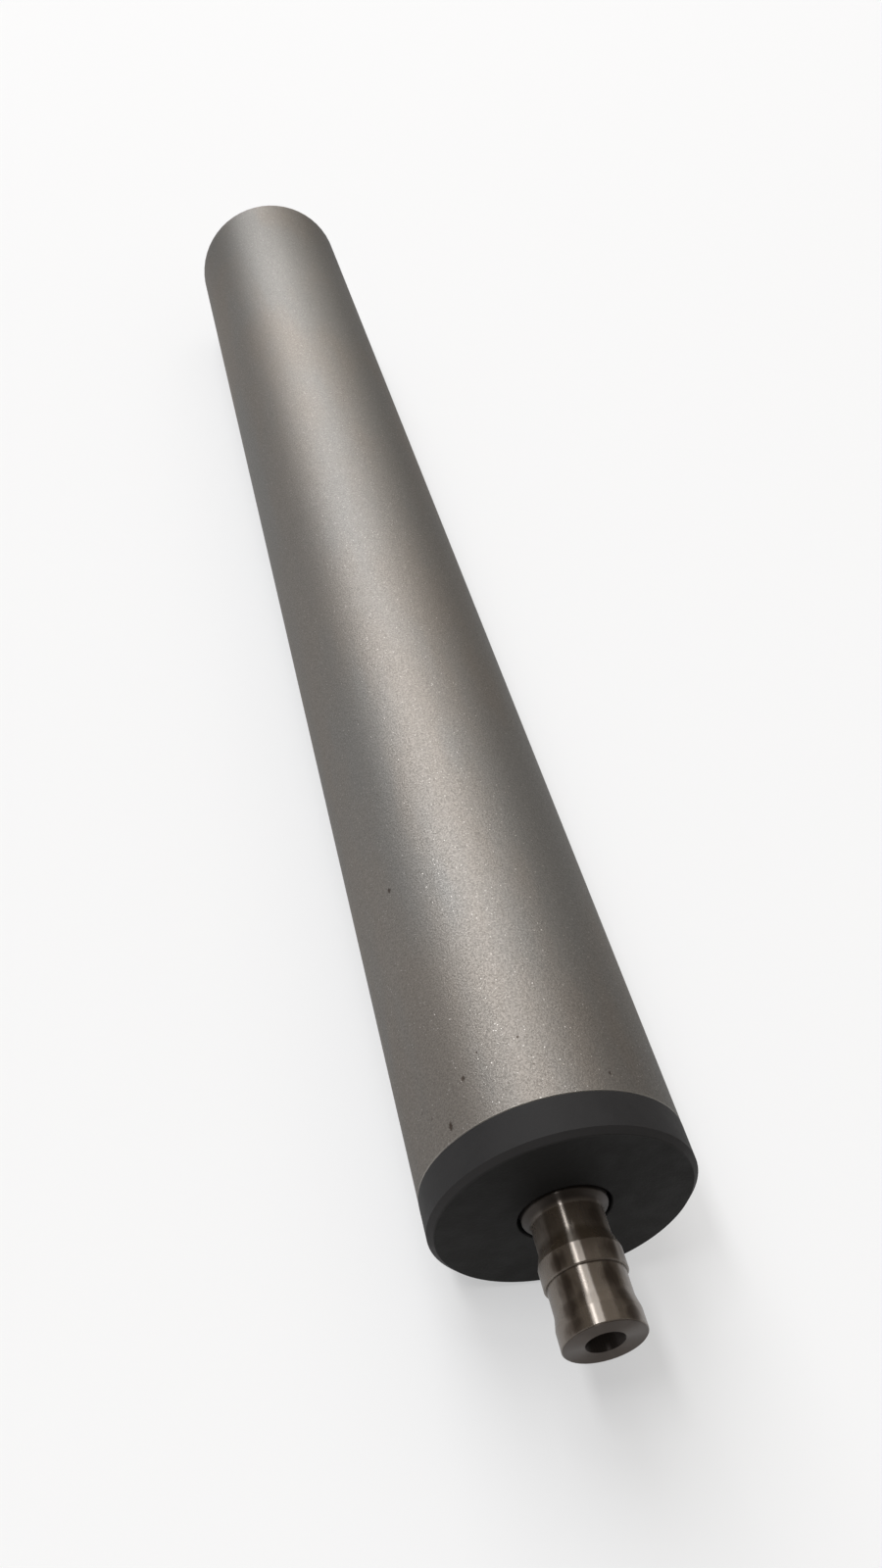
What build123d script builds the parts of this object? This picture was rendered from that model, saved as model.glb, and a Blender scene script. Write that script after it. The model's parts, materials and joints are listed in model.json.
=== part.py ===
from build123d import *
import math
import os

# Fountain roller: a grained metal tube on two turned end caps, carried by one through shaft.
# Millimetres. The roller axis is Y, the flanged cap is at the -Y end, and the origin is on
# the axis, halfway between the outer faces of the two caps.

# Tube
BODY_DIAMETER = 56.0
BODY_LENGTH = 450.0
TUBE_WALL = 5.0
TUBE_FRONT_BEVEL = 0.3
TUBE_REAR_BEVEL = 0.6

# Front cap: a flange flush with the tube, and a spigot inside it
FLANGE_WIDTH = 9.0
FLANGE_CHAMFER = 1.25
SPIGOT_LENGTH = 14.0
SPIGOT_LEAD = 1.0
RELIEF_DEPTH = 0.4
RELIEF_WIDTH = 1.6

# Rear cap: a plug just below the end of the tube
REAR_RECESS = 1.0
REAR_CAP_WIDTH = 16.0
REAR_CAP_BEVEL = 0.5

# Open pocket round the shaft in the outer face of each cap
POCKET_GAP = 0.8
POCKET_DEPTH = 3.0
POCKET_BEVEL = 0.2

# Shaft: core between the caps, a seat in each cap, then the journal outside it.
# Heights and depths are radial, and stations run outwards from the face of the cap.
LAND_DIAMETER = 17.0
SEAT_HEIGHT = 0.5
CORE_SHOULDER = 2.0
CORE_BEVEL = 0.5
COLLAR_REACH = 0.1
COLLAR_ROUND = 0.4
FLARE_LENGTH = 1.2
FLARE_ROUND = 1.5
NECK_DEPTH = 1.0
NECK_RUN_OUT = 3.0
NECK_ROUND = 4.0
INNER_LAND_START = 10.4
INNER_LAND_WIDTH = 4.5
LAND_BEVEL = 0.25
GROOVE_DEPTH = 0.55
GROOVE_WIDTH = 8.0
GROOVE_RUN_OUT = 2.7
GROOVE_ROUND = 6.0
OUTER_LAND_WIDTH = 4.1
END_CHAMFER = 0.25

# Drilled hole in the front end of the shaft
END_HOLE_DIAMETER = 8.0
END_HOLE_DEPTH = 20.0
DRILL_POINT_ANGLE = 118.0

# Turning centre in the rear end of the shaft
CENTRE_MOUTH_DIAMETER = 6.7
CENTRE_PILOT_DIAMETER = 3.15
CENTRE_PILOT_DEPTH = 3.5
CENTRE_ANGLE = 60.0

# Radii worked out from the sizes above
body_radius = BODY_DIAMETER / 2
tube_bore_radius = body_radius - TUBE_WALL
land_radius = LAND_DIAMETER / 2
seat_radius = land_radius + SEAT_HEIGHT
core_radius = seat_radius + CORE_SHOULDER
neck_radius = land_radius - NECK_DEPTH
groove_radius = land_radius - GROOVE_DEPTH
pocket_radius = seat_radius + POCKET_GAP
end_hole_radius = END_HOLE_DIAMETER / 2
centre_mouth_radius = CENTRE_MOUTH_DIAMETER / 2
centre_pilot_radius = CENTRE_PILOT_DIAMETER / 2

# Stations along the roller axis
rear_face = (BODY_LENGTH - REAR_RECESS) / 2
front_face = -rear_face
rear_end = rear_face + REAR_RECESS
tube_front = front_face + FLANGE_WIDTH
spigot_end = tube_front + SPIGOT_LENGTH
rear_cap_inner = rear_face - REAR_CAP_WIDTH

# Stations along a journal, outwards from the face of its cap
groove_start = INNER_LAND_START + INNER_LAND_WIDTH
outer_land_start = groove_start + GROOVE_WIDTH
journal_end = outer_land_start + OUTER_LAND_WIDTH


def turned(corners, rounds=()):
    """Revolve a closed outline of (radius, station) corners about the roller axis."""
    with BuildSketch(Plane.XY) as section:
        with BuildLine():
            Polyline(*corners, close=True)
        make_face()
        for corner, radius in rounds:
            fillet(section.vertices().sort_by_distance((*corner, 0))[0], radius)
    return revolve(section.sketch, Axis.Y)


def roller_tube():
    """Open tube: fine bevel where it meets the flange, broken edge at the rear."""
    return turned([
        (tube_bore_radius, tube_front),
        (body_radius - TUBE_FRONT_BEVEL, tube_front),
        (body_radius, tube_front + TUBE_FRONT_BEVEL),
        (body_radius, rear_end - TUBE_REAR_BEVEL),
        (body_radius - TUBE_REAR_BEVEL, rear_end),
        (tube_bore_radius, rear_end),
    ])


def front_end_cap():
    """Flanged cap: chamfered rim, pocket round the shaft, relief at the root of the spigot."""
    relief_radius = tube_bore_radius - RELIEF_DEPTH
    relief_end = tube_front + RELIEF_WIDTH
    return turned([
        (seat_radius, front_face + POCKET_DEPTH),
        (pocket_radius, front_face + POCKET_DEPTH),
        (pocket_radius, front_face + POCKET_BEVEL),
        (pocket_radius + POCKET_BEVEL, front_face),
        (body_radius - FLANGE_CHAMFER, front_face),
        (body_radius, front_face + FLANGE_CHAMFER),
        (body_radius, tube_front),
        (relief_radius, tube_front),
        (relief_radius, relief_end),
        (tube_bore_radius, relief_end + RELIEF_DEPTH),
        (tube_bore_radius, spigot_end - SPIGOT_LEAD),
        (tube_bore_radius - SPIGOT_LEAD, spigot_end),
        (seat_radius, spigot_end),
    ])


def rear_end_cap():
    """Plain plug with bevelled edges and the same pocket round the shaft."""
    return turned([
        (seat_radius, rear_cap_inner),
        (tube_bore_radius - REAR_CAP_BEVEL, rear_cap_inner),
        (tube_bore_radius, rear_cap_inner + REAR_CAP_BEVEL),
        (tube_bore_radius, rear_face - REAR_CAP_BEVEL),
        (tube_bore_radius - REAR_CAP_BEVEL, rear_face),
        (pocket_radius + POCKET_BEVEL, rear_face),
        (pocket_radius, rear_face - POCKET_BEVEL),
        (pocket_radius, rear_face - POCKET_DEPTH),
        (seat_radius, rear_face - POCKET_DEPTH),
    ])


def cone_length(wide, narrow, angle):
    """Length of a cone between two radii, for the full angle at its tip."""
    return (wide - narrow) / math.tan(math.radians(angle / 2))


def end_hole():
    """Corners of the drilled hole, from its mouth to the tip left by the drill."""
    wall_end = journal_end - END_HOLE_DEPTH
    tip = wall_end - cone_length(end_hole_radius, 0, DRILL_POINT_ANGLE)
    return [(end_hole_radius, journal_end), (end_hole_radius, wall_end), (0, tip)]


def turning_centre():
    """Corners of the turning centre: a cone for the lathe centre, then its pilot."""
    cone_end = journal_end - cone_length(centre_mouth_radius, centre_pilot_radius, CENTRE_ANGLE)
    pilot_end = cone_end - CENTRE_PILOT_DEPTH
    tip = pilot_end - cone_length(centre_pilot_radius, 0, DRILL_POINT_ANGLE)
    return [
        (centre_mouth_radius, journal_end),
        (centre_pilot_radius, cone_end),
        (centre_pilot_radius, pilot_end),
        (0, tip),
    ]


def journal(cap_face, outward, shoulder, hole):
    """Corners of one end of the shaft, from its core shoulder to the bottom of its hole.

    outward is -1 or +1, the way that the journal points along the axis. The second list
    gives the corners that are rounded: the lip and the root of the flared collar beside the
    cap, and the roots of the two slopes that run up to the lands.
    """
    def at(radius, station):
        return radius, cap_face + outward * station

    collar = at(seat_radius, COLLAR_REACH)
    flare_root = at(neck_radius, COLLAR_REACH + FLARE_LENGTH)
    neck_end = at(neck_radius, INNER_LAND_START - NECK_RUN_OUT)
    groove_end = at(groove_radius, outer_land_start - GROOVE_RUN_OUT)
    corners = [
        (core_radius - CORE_BEVEL, shoulder),
        (seat_radius, shoulder),
        collar,
        flare_root,
        neck_end,
        at(land_radius, INNER_LAND_START),
        at(land_radius, groove_start - LAND_BEVEL),
        at(land_radius - LAND_BEVEL, groove_start),
        at(groove_radius, groove_start),
        groove_end,
        at(land_radius, outer_land_start),
        at(land_radius, journal_end - END_CHAMFER),
        at(land_radius - END_CHAMFER, journal_end),
    ]
    rounds = [
        (collar, COLLAR_ROUND),
        (flare_root, FLARE_ROUND),
        (neck_end, NECK_ROUND),
        (groove_end, GROOVE_ROUND),
    ]
    return corners + [at(*corner) for corner in hole], rounds


def shaft():
    """Through shaft, turned in one piece: core, two seats and two like journals."""
    front, front_rounds = journal(front_face, -1, spigot_end, end_hole())
    rear, rear_rounds = journal(rear_face, 1, rear_cap_inner, turning_centre())
    core = [
        (core_radius, spigot_end + CORE_BEVEL),
        (core_radius, rear_cap_inner - CORE_BEVEL),
    ]
    return turned(front[::-1] + core + rear, front_rounds + rear_rounds)


os.makedirs("parts", exist_ok=True)
for piece in (roller_tube, front_end_cap, rear_end_cap, shaft):
    export_step(piece(), f"parts/{piece.__name__}.step")
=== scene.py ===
import json
import math

import bpy
from mathutils import Matrix, Vector

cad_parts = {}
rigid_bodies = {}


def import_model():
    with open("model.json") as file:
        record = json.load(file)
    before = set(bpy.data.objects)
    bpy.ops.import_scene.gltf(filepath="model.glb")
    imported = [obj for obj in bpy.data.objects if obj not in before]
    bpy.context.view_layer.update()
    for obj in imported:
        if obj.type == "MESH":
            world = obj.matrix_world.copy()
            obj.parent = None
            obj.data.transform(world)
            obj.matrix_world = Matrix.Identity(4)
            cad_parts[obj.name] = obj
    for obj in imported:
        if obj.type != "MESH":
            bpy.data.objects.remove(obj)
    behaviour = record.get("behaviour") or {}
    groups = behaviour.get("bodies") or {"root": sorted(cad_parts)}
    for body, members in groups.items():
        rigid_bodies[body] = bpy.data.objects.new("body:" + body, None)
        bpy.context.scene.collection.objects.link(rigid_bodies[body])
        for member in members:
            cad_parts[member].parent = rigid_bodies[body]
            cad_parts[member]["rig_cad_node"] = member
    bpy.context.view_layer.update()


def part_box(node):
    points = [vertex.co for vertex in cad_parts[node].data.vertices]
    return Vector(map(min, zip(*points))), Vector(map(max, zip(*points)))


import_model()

# Sizes read from the frame, in metres. The roller axis is Y.
tube_low, tube_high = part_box("roller_tube")
cap_low, cap_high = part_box("front_end_cap")
shaft_low, shaft_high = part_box("shaft")
body_radius = tube_high[0]
cap_face = cap_low[1]
tube_front = tube_low[1]
tube_rear = tube_high[1]
shaft_reach = cap_face - shaft_low[1]
land_radius = 0.0085

# Camera: a picture of 900 x 1600 pixels, taken from above the front end
PICTURE_LONG_SIDE = 1600
FOCAL_LENGTH_PIXELS = 1424.4
SENSOR_LONG_SIDE = 36.0
CAMERA_PLACE = (-0.09811, -0.35762, 0.23886)
CAMERA_FORWARD = (0.25929, 0.70285, -0.66240)
CAMERA_ROLL = math.radians(12.39)
CAMERA_SHIFT = (0.0142, 0.0105)


def add_camera():
    """Camera that looks along CAMERA_FORWARD, rolled about that line."""
    data = bpy.data.cameras.new("camera")
    data.sensor_width = SENSOR_LONG_SIDE
    data.lens = SENSOR_LONG_SIDE * FOCAL_LENGTH_PIXELS / PICTURE_LONG_SIDE
    data.shift_x, data.shift_y = CAMERA_SHIFT
    data.clip_start, data.clip_end = 0.005, 20.0
    camera = bpy.data.objects.new("camera", data)
    level = Vector(CAMERA_FORWARD).to_track_quat("-Z", "Y").to_matrix().to_4x4()
    roll = Matrix.Rotation(CAMERA_ROLL, 4, "Z")
    camera.matrix_world = Matrix.Translation(CAMERA_PLACE) @ level @ roll
    bpy.context.scene.collection.objects.link(camera)
    bpy.context.scene.camera = camera


class Surface:
    """One procedural material, with short calls for the shader nodes it is made of."""

    def __init__(self, name):
        self.material = bpy.data.materials.new(name)
        self.material.use_nodes = True
        self.tree = self.material.node_tree
        self.tree.nodes.clear()
        place = self.add("ShaderNodeTexCoord").outputs["Object"]
        apart = self.add("ShaderNodeSeparateXYZ")
        self.link(place, apart.inputs[0])
        self.place = place
        self.x, self.y, self.z = apart.outputs
        # Distance from the roller axis, and distance outside the faces of the two caps
        self.radius = self.math("SQRT", self.math("ADD", self.math("MULTIPLY", self.x, self.x),
                                                  self.math("MULTIPLY", self.z, self.z)))
        self.station = self.math("SUBTRACT", self.math("ABSOLUTE", self.y), -cap_face)

    def add(self, kind):
        return self.tree.nodes.new(kind)

    def link(self, output, socket):
        self.tree.links.new(output, socket)

    def feed(self, socket, value):
        """Link a node's output to a socket, or write a number or colour on the socket."""
        if isinstance(value, bpy.types.NodeSocket):
            self.link(value, socket)
        elif isinstance(value, tuple) and len(socket.default_value) == 4 and len(value) == 3:
            socket.default_value = (*value, 1.0)
        else:
            socket.default_value = value

    def math(self, operation, *values, clamp=False):
        node = self.add("ShaderNodeMath")
        node.operation = operation
        node.use_clamp = clamp
        for socket, value in zip(node.inputs, values):
            self.feed(socket, value)
        return node.outputs[0]

    def vector(self, operation, *values):
        node = self.add("ShaderNodeVectorMath")
        node.operation = operation
        for socket, value in zip(node.inputs, values):
            self.feed(socket, value)
        return node.outputs["Value" if operation in ("LENGTH", "DISTANCE") else "Vector"]

    def step(self, value, low, high, start=0.0, end=1.0):
        """Smooth step of a value between two limits, from start to end."""
        node = self.add("ShaderNodeMapRange")
        node.interpolation_type = "SMOOTHSTEP"
        names = ("Value", "From Min", "From Max", "To Min", "To Max")
        for name, number in zip(names, (value, low, high, start, end)):
            self.feed(node.inputs[name], number)
        return node.outputs["Result"]

    def mix(self, factor, first, second, blend="MIX"):
        node = self.add("ShaderNodeMix")
        node.data_type = "RGBA"
        node.blend_type = blend
        factor_socket, first_socket, second_socket = (node.inputs[i] for i in (0, 6, 7))
        self.feed(factor_socket, factor)
        self.feed(first_socket, first)
        self.feed(second_socket, second)
        return node.outputs[2]

    def noise(self, frequency, detail=2.0, roughness=0.5, shift=(0.0, 0.0, 0.0)):
        """Noise of so many cycles per metre, one number or one along each axis."""
        each = frequency if isinstance(frequency, tuple) else (frequency,) * 3
        scaled = self.vector("MULTIPLY", self.vector("ADD", self.place, shift), each)
        node = self.add("ShaderNodeTexNoise")
        self.link(scaled, node.inputs["Vector"])
        for name, value in (("Scale", 1.0), ("Detail", detail), ("Roughness", roughness)):
            node.inputs[name].default_value = value
        return node.outputs["Fac"]

    def cells(self, frequency):
        """Random cells of so many to the metre: distance to the middle, and a colour each."""
        node = self.add("ShaderNodeTexVoronoi")
        self.link(self.place, node.inputs["Vector"])
        node.inputs["Scale"].default_value = frequency
        return node.outputs["Distance"], node.outputs["Color"]

    def spot(self, station, angle, length, width, surface_radius, ragged, outside=1.3, inside=0.6):
        """Mask of a ragged spot: its middle, its length along the axis, and its width."""
        turn = math.radians(angle)
        middle = (surface_radius * math.sin(turn), cap_face + station, surface_radius * math.cos(turn))
        away = self.vector("MULTIPLY", self.vector("SUBTRACT", self.place, middle),
                           (2 / width, 2 / length, 2 / width))
        return self.step(self.math("ADD", self.vector("LENGTH", away), ragged), outside, inside)

    def shade(self, value):
        """The same number as red, green and blue."""
        node = self.add("ShaderNodeCombineColor")
        for socket in node.inputs:
            self.link(value, socket)
        return node.outputs[0]

    def bump(self, height, distance, normal=None):
        node = self.add("ShaderNodeBump")
        node.inputs["Distance"].default_value = distance
        self.link(height, node.inputs["Height"])
        if normal is not None:
            self.link(normal, node.inputs["Normal"])
        return node.outputs["Normal"]

    def finish(self, **values):
        shader = self.add("ShaderNodeBsdfPrincipled")
        for name, value in values.items():
            self.feed(shader.inputs[name.replace("_", " ")], value)
        self.link(shader.outputs["BSDF"], self.add("ShaderNodeOutputMaterial").inputs["Surface"])
        return self.material


# Pits in the plating: station from the front cap face (mm), angle from the top (degrees),
# length along the roller and width (mm), strength
PITS = (
    (20.0, -46.0, 1.2, 0.9, 0.9),
    (12.3, -57.5, 2.0, 0.9, 0.9),
    (17.0, -66.5, 0.8, 0.7, 0.45),
    (20.0, -72.0, 0.8, 0.7, 0.35),
    (13.3, 13.5, 1.0, 0.5, 0.8),
    (24.0, -19.5, 0.6, 0.5, 0.8),
    (24.0, -37.5, 0.5, 0.4, 0.8),
    (17.0, -16.5, 0.4, 0.6, 0.5),
    (75.0, -57.5, 1.3, 0.9, 0.9),
)


def grained_plating():
    """Matt grained plating: fine sparkling grain, soft warm clouds and a few small pits."""
    s = Surface("grained_plating")
    clouds = s.noise((34.0, 9.0, 34.0), 3.0, 0.6)
    warm = s.mix(s.step(clouds, 0.38, 0.62), (0.252, 0.233, 0.214), (0.239, 0.234, 0.226))
    colour = s.mix(s.step(s.station, -0.05, -0.42), warm, (0.228, 0.223, 0.216))
    # Darker towards each end of the body, fading out 70 mm in.
    darker_near_ends = s.step(s.station, 0.0, -0.07, 0.88, 1.0)
    colour = s.mix(1.0, colour, s.shade(darker_near_ends), "MULTIPLY")
    grain = s.noise(2300.0, 3.0, 0.65)
    colour = s.mix(1.0, colour, s.shade(s.step(grain, 0.32, 0.66, 0.85, 1.14)), "MULTIPLY")
    # Speckle: a few cells are darker, and a few are small bright facets with their own tilt
    inside, tint = s.cells(3000.0)
    chance = s.math("FRACT", s.math("MULTIPLY", tint_value(s, tint), 7.31))
    dark = s.math("MULTIPLY", s.step(chance, 0.95, 0.97), s.step(inside, 0.55, 0.3))
    colour = s.mix(s.math("MULTIPLY", dark, 0.4), colour, (0.10, 0.085, 0.07))
    facet = s.math("MULTIPLY", s.step(chance, 0.030, 0.018), s.step(inside, 0.5, 0.3))
    colour = s.mix(facet, colour, (0.42, 0.405, 0.385))
    # Pits with ragged edges
    ragged = s.math("MULTIPLY", s.math("SUBTRACT", s.noise(3000.0), 0.5), 1.4)
    pitted = None
    for station, angle, length, width, strength in PITS:
        pit = s.spot(station / 1000, angle, length / 1000, width / 1000, body_radius, ragged)
        pit = s.math("MULTIPLY", pit, strength)
        pitted = pit if pitted is None else s.math("MAXIMUM", pitted, pit)
    colour = s.mix(s.math("MULTIPLY", pitted, 0.85), colour, (0.045, 0.030, 0.022))
    # Broken edge of the tube beside the flange, rubbed bright
    edge = s.step(s.y, tube_front + 0.0005, tube_front + 0.0003)
    colour = s.mix(s.math("MULTIPLY", edge, 0.35), colour, (0.50, 0.48, 0.45))
    rough = s.step(grain, 0.32, 0.66, 0.60, 0.53)
    rough = s.math("SUBTRACT", rough, s.math("MULTIPLY", facet, 0.15))
    sunk = s.math("ADD", s.math("MULTIPLY", dark, 0.1), s.math("MULTIPLY", pitted, 0.5))
    height = s.math("SUBTRACT", grain, sunk)
    normal = s.bump(height, 0.00009)
    tilt = s.vector("MULTIPLY", s.vector("SUBTRACT", tint, (0.5, 0.5, 0.5)), (0.5, 0.5, 0.5))
    tilted = s.vector("NORMALIZE", s.vector("ADD", normal, tilt))
    normal = s.mix(facet, normal, tilted)
    return s.finish(Base_Color=colour, Metallic=1.0, Roughness=rough, Normal=normal,
                    Specular_Tint=(0.45, 0.45, 0.45, 1.0))


def tint_value(s, tint):
    apart = s.add("ShaderNodeSeparateColor")
    s.link(tint, apart.inputs[0])
    return apart.outputs[0]


def dark_cap():
    """Matt dark grey coating. The end face is painted darker than the band, as painted shade, and is a
    little browner.
    """
    s = Surface("dark_cap")
    mottle = s.noise(170.0, 4.0, 0.6)
    band = s.mix(s.step(mottle, 0.3, 0.7), (0.0205, 0.0202, 0.0212), (0.0250, 0.0246, 0.0256))
    # Painted shade: the end face colours are about half as bright as the band's.
    face = s.mix(s.step(mottle, 0.3, 0.7), (0.0100, 0.0096, 0.0091), (0.0130, 0.0124, 0.0118))
    # The face is darker towards the top
    face_darker_upwards = s.step(s.z, -0.016, 0.020, 1.0, 0.6)
    face = s.mix(1.0, face, s.shade(face_darker_upwards), "MULTIPLY")
    on_face = s.step(s.station, -0.0003, -0.0001)
    colour = s.mix(on_face, band, face)
    # Painted light: the chamfered rim is painted lighter than the band
    rim_painted_lighter = s.math("MULTIPLY", s.step(s.station, -0.0015, -0.0011), s.step(s.radius, 0.0264, 0.0270))
    colour = s.mix(s.math("MULTIPLY", rim_painted_lighter, 0.7), colour, (0.029, 0.028, 0.0285))
    fine = s.noise(1500.0, 3.0, 0.6)
    rough = s.step(mottle, 0.3, 0.7, 0.62, 0.72)
    return s.finish(Base_Color=colour, Roughness=rough, Specular_IOR_Level=0.15,
                    Normal=s.bump(fine, 0.00004))


# Brown stains on the journal. The rows near -55 and +25 degrees line up into dark bands along it:
# painted reflection of dark surroundings as well as brown stain. Columns: station from the front cap face
# (mm, outwards is negative), angle from the top (degrees), length along the roller and width (mm), strength
STAINS_AND_DARK_REFLECTIONS = (
    (-5.0, -57.0, 8.0, 5.0, 0.6),
    (-5.0, 27.0, 8.0, 6.0, 0.8),
    (-12.8, -53.0, 4.5, 4.2, 0.9),
    (-12.4, 27.0, 5.0, 5.0, 0.8),
    (-12.6, 52.0, 5.0, 4.0, 0.8),
    (-17.8, -55.0, 7.0, 3.8, 0.9),
    (-18.0, 17.0, 7.0, 4.0, 0.9),
    (-17.5, 42.0, 6.0, 3.0, 0.4),
    (-22.4, -55.0, 6.0, 3.8, 0.9),
    (-22.2, 24.0, 6.0, 4.6, 0.7),
    (-25.6, -57.0, 4.5, 4.6, 0.9),
    (-25.5, 30.0, 4.5, 5.0, 0.9),
)


def journal_steel():
    """Turned steel under a thin brown film, with fine lines round it, darker stains, dark bands painted
    along it as painted reflection, and painted shade at the collar.
    """
    s = Surface("journal_steel")
    mottle = s.noise((160.0, 90.0, 160.0), 3.0, 0.55)
    ragged = s.math("MULTIPLY", s.math("SUBTRACT", s.noise((420.0, 160.0, 420.0), 3.0, 0.6), 0.5), 1.6)
    stain_and_reflection_mask = s.step(mottle, 0.50, 0.72, 0.0, 0.6)
    # Painted reflection: the rows near -55 and +25 degrees lay dark bands along the journal
    for station, angle, length, width, strength in STAINS_AND_DARK_REFLECTIONS:
        stain_and_reflection_spot = s.spot(station / 1000, angle, length / 1000, width / 1000, land_radius, ragged, 1.5, 0.2)
        stain_and_reflection_mask = s.math("MAXIMUM", stain_and_reflection_mask, s.math("MULTIPLY", stain_and_reflection_spot, strength))
    # The flared collar is stained down to its root
    collar = s.step(s.station, 0.0022, 0.0008)
    stain_and_reflection_mask = s.math("MAXIMUM", stain_and_reflection_mask, collar)
    colour = s.mix(stain_and_reflection_mask, (0.080, 0.056, 0.034), (0.042, 0.027, 0.017))
    # Painted shade: the collar is darkened further towards the cap face, in the corner where it meets the
    # cap
    colour = s.mix(1.0, colour, s.shade(s.step(s.station, 0.0022, 0.0008, 1.0, 0.45)), "MULTIPLY")
    lines = s.noise((90.0, 6000.0, 90.0), 2.0)
    streaks = s.noise((2600.0, 40.0, 2600.0), 2.0, 0.6)
    worn = s.math("MULTIPLY", s.step(lines, 0.3, 0.7, 0.95, 1.04), s.step(streaks, 0.36, 0.48, 0.86, 1.03))
    colour = s.mix(1.0, colour, s.shade(worn), "MULTIPLY")
    # The end face is duller than the turned surfaces, and the drilled hole is dull and dirty
    end_face = s.step(s.station, shaft_reach - 0.00015, shaft_reach - 0.00005)
    colour = s.mix(end_face, colour, s.mix(mottle, (0.064, 0.048, 0.037), (0.046, 0.034, 0.026)))
    in_hole = s.step(s.radius, 0.00405, 0.00398)
    colour = s.mix(in_hole, colour, (0.036, 0.027, 0.024))
    metallic = s.step(s.math("MAXIMUM", stain_and_reflection_mask, s.math("MAXIMUM", end_face, in_hole)), 0.0, 1.0, 0.60, 0.88)
    rough = s.math("ADD", s.step(stain_and_reflection_mask, 0.0, 1.0, 0.27, 0.36), s.math("MULTIPLY", end_face, 0.15))
    rough = s.math("ADD", rough, s.math("MULTIPLY", in_hole, 0.3))
    round_axis = s.add("ShaderNodeTangent")
    round_axis.direction_type = "RADIAL"
    round_axis.axis = "Y"
    return s.finish(Base_Color=colour, Metallic=metallic, Roughness=rough, IOR=3.1, Anisotropic=1.0,
                    Anisotropic_Rotation=0.25, Tangent=round_axis.outputs[0],
                    Normal=s.bump(lines, 0.000003))


def dress(node, material):
    """Give a CAD node's object one material."""
    for piece in bpy.context.scene.objects:
        if piece.get("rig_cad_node") == node:
            piece.data.materials.clear()
            piece.data.materials.append(material)


# Stage
FLOOR_HALF_WIDTH = 6.0
FLOOR_COLOUR = (0.900, 0.907, 0.918)
FLOOR_GLOW = 0.5


def floor_paint():
    """Matt pale paint. Seen directly or in a reflection, part of its brightness is its own."""
    s = Surface("floor_paint")
    rays = s.add("ShaderNodeLightPath").outputs
    seen = s.math("MAXIMUM", rays["Is Camera Ray"], rays["Is Glossy Ray"])
    seen = s.math("MAXIMUM", seen, rays["Is Transmission Ray"])
    glow = s.math("MULTIPLY", seen, FLOOR_GLOW)
    return s.finish(Base_Color=s.mix(glow, FLOOR_COLOUR, (0.0, 0.0, 0.0)), Roughness=0.9,
                    Specular_IOR_Level=0.0, Emission_Color=FLOOR_COLOUR, Emission_Strength=glow)


def add_floor():
    mesh = bpy.data.meshes.new("floor")
    half, level = FLOOR_HALF_WIDTH, -body_radius
    corners = [(-half, -half, level), (half, -half, level), (half, half, level), (-half, half, level)]
    mesh.from_pydata(corners, [], [(0, 1, 2, 3)])
    floor = bpy.data.objects.new("floor", mesh)
    bpy.context.scene.collection.objects.link(floor)
    mesh.materials.append(floor_paint())


# Lights. Each one lies in a plane through the roller axis, tilted to the left, so that it draws
# a straight highlight along the roller. A light's size and place are angles seen from the
# roller: its reach in that plane is measured from the +Y end of the axis.
LIGHT_DISTANCE = 10.0
SOFTBOX_REACH = (math.radians(22.0), math.radians(76.0))
SOFTBOX_WIDTH = math.radians(27.0)
SOFTBOX_TILT = math.radians(22.0)
SOFTBOX_RADIANCE = 4.7
TOP_STRIP_REACH = (math.radians(78.0), math.radians(102.0))
TOP_STRIP_WIDTH = math.radians(6.0)
TOP_STRIP_TILT = math.radians(28.0)
TOP_STRIP_RADIANCE = 22.0
FILL_REACH = (math.radians(12.0), math.radians(60.0))
FILL_WIDTH = math.radians(36.0)
FILL_TILT = math.radians(-16.0)
FILL_RADIANCE = 1.15
FILL_COLOUR = (1.0, 0.93, 0.84)
SURROUND_RADIANCE = 0.31
SURROUND_COLOUR = (1.0, 0.94, 0.87)


def add_panel(name, tilt, reach, width, radiance, colour=(1.0, 1.0, 1.0)):
    """Area light that faces the roller and spans the given reach and width."""
    middle = (reach[0] + reach[1]) / 2
    up = Vector((-math.sin(tilt), 0.0, math.cos(tilt)))
    axis = Vector((0.0, 1.0, 0.0))
    back = axis * math.cos(middle) + up * math.sin(middle)
    side = axis.cross(up).normalized()
    data = bpy.data.lights.new(name, "AREA")
    data.shape = "RECTANGLE"
    data.size = 2 * LIGHT_DISTANCE * math.tan(width / 2)
    data.size_y = 2 * LIGHT_DISTANCE * math.tan((reach[1] - reach[0]) / 2)
    data.energy = radiance * math.pi * data.size * data.size_y
    data.color = colour
    light = bpy.data.objects.new(name, data)
    turn = Matrix((side, back.cross(side), back)).transposed().to_4x4()
    light.matrix_world = Matrix.Translation(back * LIGHT_DISTANCE) @ turn
    light.visible_camera = False
    bpy.context.scene.collection.objects.link(light)


def add_surround():
    world = bpy.data.worlds.new("surround")
    world.use_nodes = True
    background = world.node_tree.nodes["Background"]
    background.inputs["Color"].default_value = (*SURROUND_COLOUR, 1.0)
    background.inputs["Strength"].default_value = SURROUND_RADIANCE
    bpy.context.scene.world = world


dress("roller_tube", grained_plating())
coating = dark_cap()
dress("front_end_cap", coating)
dress("rear_end_cap", coating)
dress("shaft", journal_steel())
add_floor()
add_panel("softbox", SOFTBOX_TILT, SOFTBOX_REACH, SOFTBOX_WIDTH, SOFTBOX_RADIANCE)
add_panel("top_strip", TOP_STRIP_TILT, TOP_STRIP_REACH, TOP_STRIP_WIDTH, TOP_STRIP_RADIANCE)
add_panel("fill", FILL_TILT, FILL_REACH, FILL_WIDTH, FILL_RADIANCE, FILL_COLOUR)
add_surround()
add_camera()

bpy.context.scene.view_settings.view_transform = "Standard"
